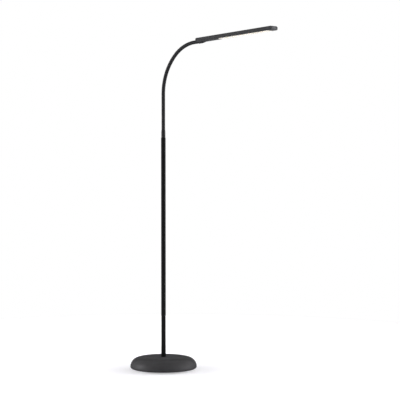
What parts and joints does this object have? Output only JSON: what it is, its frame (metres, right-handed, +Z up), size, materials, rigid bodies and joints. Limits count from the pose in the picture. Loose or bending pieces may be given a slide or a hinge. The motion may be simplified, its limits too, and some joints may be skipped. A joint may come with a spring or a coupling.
{
  "type": "gooseneck reading floor lamp",
  "caption": "Floor lamp with a weighted round base, slim pole, flexible ribbed neck and a flat bar head with a light strip under it and a push button on its nose.",
  "frame": {"origin": "middle of the foot pad's underside, on the floor", "axes": "+Z up along the pole; +X is the way the neck bends and the head points; the power inlet faces -X"},
  "size_m": [0.5937, 0.23, 1.1599],
  "materials": {
    "black_shell": "satin black powder coat",
    "black_pole": "semi-gloss black coat",
    "hose_black": "matt black coat",
    "head_black": "matt black anodised channel",
    "black_plastic": "fine matt moulding",
    "cast_weight": "as cast",
    "plate_steel": "zinc plated",
    "fastener": "zinc plated",
    "foot_rubber": "matt foam rubber",
    "lead_jacket": "smooth jacket",
    "lens": "opal, satin",
    "board_white": "solder mask",
    "chip": "phosphor",
    "tape": "thermal tape",
    "button_grey": "satin",
    "switch_black": "moulded"
  },
  "bodies": {
    "stand": {"base_cover": "black_shell", "base_weight": "cast_weight", "base_plate": "plate_steel", "base_plate_screws": "fastener", "foot_pad": "foot_rubber", "pole_stud": "fastener", "stud_washer": "fastener", "stud_nut": "fastener", "power_inlet": "black_plastic", "inlet_nut": "fastener", "pole_lead": "lead_jacket", "pole_foot_insert": "fastener", "lower_pole": "black_pole", "pole_joint_socket": "fastener", "pole_joint_stud": "fastener", "upper_pole": "black_pole", "pole_top_insert": "fastener", "neck_collar": "black_pole", "neck_link_00": "hose_black", "neck_lead": "lead_jacket"},
    "neck_01": {"neck_link_01": "hose_black"},
    "neck_02": {"neck_link_02": "hose_black"},
    "neck_03": {"neck_link_03": "hose_black"},
    "neck_04": {"neck_link_04": "hose_black"},
    "neck_05": {"neck_link_05": "hose_black"},
    "neck_06": {"neck_link_06": "hose_black"},
    "neck_07": {"neck_link_07": "hose_black"},
    "neck_08": {"neck_link_08": "hose_black"},
    "neck_09": {"neck_link_09": "hose_black"},
    "neck_10": {"neck_link_10": "hose_black"},
    "neck_11": {"neck_link_11": "hose_black"},
    "head": {"neck_link_12": "hose_black", "rear_cap": "black_plastic", "rear_cap_screws": "fastener", "neck_clamp_screw": "fastener", "head_housing": "head_black", "diffuser": "lens", "thermal_tape": "tape", "led_board": "board_white", "led_chips": "chip", "head_lead": "lead_jacket", "nose_cap": "black_plastic", "switch_board": "board_white", "tact_switch": "switch_black", "switch_lead": "lead_jacket"},
    "button": {"dimmer_button": "button_grey", "switch_plunger": "switch_black"}
  },
  "joints": [
    {"name": "neck_bend_01", "type": "hinge", "parent": "stand", "child": "neck_01", "pos_m": [0, 0, 0.8506], "axis": [0, 1, 0], "range_deg": [-22, 20], "deforming": ["neck_lead"]},
    {"name": "neck_sway_02", "type": "hinge", "parent": "neck_01", "child": "neck_02", "pos_m": [0, 0, 0.88196], "axis": [1, 0, 0], "range_deg": [-18, 18]},
    {"name": "neck_bend_03", "type": "hinge", "parent": "neck_02", "child": "neck_03", "pos_m": [0, 0, 0.91331], "axis": [0, 1, 0], "range_deg": [-22, 20]},
    {"name": "neck_bend_04", "type": "hinge", "parent": "neck_03", "child": "neck_04", "pos_m": [0, 0, 0.94467], "axis": [0, 1, 0], "range_deg": [-24.85, 17.15]},
    {"name": "neck_sway_05", "type": "hinge", "parent": "neck_04", "child": "neck_05", "pos_m": [0.00156, 0, 0.97596], "axis": [0.9913, 0, -0.1318], "range_deg": [-18, 18]},
    {"name": "neck_bend_06", "type": "hinge", "parent": "neck_05", "child": "neck_06", "pos_m": [0.00823, 0, 1.00656], "axis": [0, 1, 0], "range_deg": [-31.71, 10.29]},
    {"name": "neck_bend_07", "type": "hinge", "parent": "neck_06", "child": "neck_07", "pos_m": [0.01996, 0, 1.03559], "axis": [0, 1, 0], "range_deg": [-31.71, 10.29]},
    {"name": "neck_sway_08", "type": "hinge", "parent": "neck_07", "child": "neck_08", "pos_m": [0.03643, 0, 1.06223], "axis": [0.8029, 0, -0.5961], "range_deg": [-18, 18]},
    {"name": "neck_bend_09", "type": "hinge", "parent": "neck_08", "child": "neck_09", "pos_m": [0.05716, 0, 1.0857], "axis": [0, 1, 0], "range_deg": [-33.74, 8.26]},
    {"name": "neck_bend_10", "type": "hinge", "parent": "neck_09", "child": "neck_10", "pos_m": [0.08221, 0, 1.10444], "axis": [0, 1, 0], "range_deg": [-34.97, 7.03]},
    {"name": "neck_sway_11", "type": "hinge", "parent": "neck_10", "child": "neck_11", "pos_m": [0.11084, 0, 1.11709], "axis": [0.2981, 0, -0.9545], "range_deg": [-18, 18]},
    {"name": "neck_bend_12", "type": "hinge", "parent": "neck_11", "child": "head", "pos_m": [0.14157, 0, 1.12298], "axis": [0, 1, 0], "range_deg": [-28.49, 13.51]},
    {"name": "button_press", "type": "slide", "parent": "head", "child": "button", "axis": [-0.9971, 0, -0.0762], "range_m": [0, 0.0006], "stiffness_N_per_m": 1500}
  ]
}
